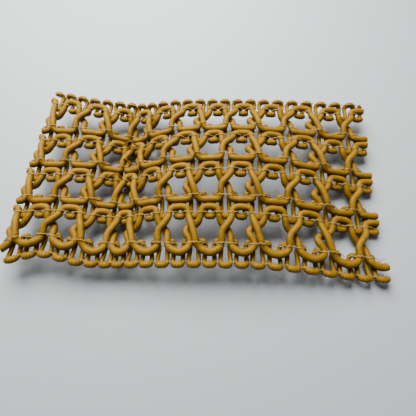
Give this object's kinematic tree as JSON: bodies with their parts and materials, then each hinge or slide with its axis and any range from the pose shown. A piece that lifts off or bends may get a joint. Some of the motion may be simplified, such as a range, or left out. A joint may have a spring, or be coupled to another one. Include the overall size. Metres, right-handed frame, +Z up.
{
  "type": "lace belt",
  "caption": "Openwork gimp lace band: rows of openings held by crossing thick cords, between narrow bands of a finer winding cord, lying in a gentle wave.",
  "frame": {"origin": "on the table under the middle of the lace's bounding box", "axes": "+X along the lace, +Y across it towards its top edge, +Z up from the table"},
  "size_m": [0.1026, 0.0612, 0.012],
  "materials": {
    "front_gimp": "silky wrapped rayon, golden ochre",
    "back_gimp": "silky wrapped rayon, golden ochre, a little darker",
    "band_gimp": "silky wrapped rayon, golden ochre"
  },
  "bodies": {
    "root": {"front_gimp_1": "front_gimp", "front_gimp_2": "front_gimp", "front_gimp_3": "front_gimp", "front_gimp_4": "front_gimp", "back_gimp_1": "back_gimp", "back_gimp_2": "back_gimp", "back_gimp_3": "back_gimp", "back_gimp_4": "back_gimp", "top_edge_gimp": "band_gimp", "band_gimp_1": "band_gimp", "band_gimp_2": "band_gimp", "band_gimp_3": "band_gimp", "bottom_edge_gimp": "band_gimp"}
  },
  "joints": []
}
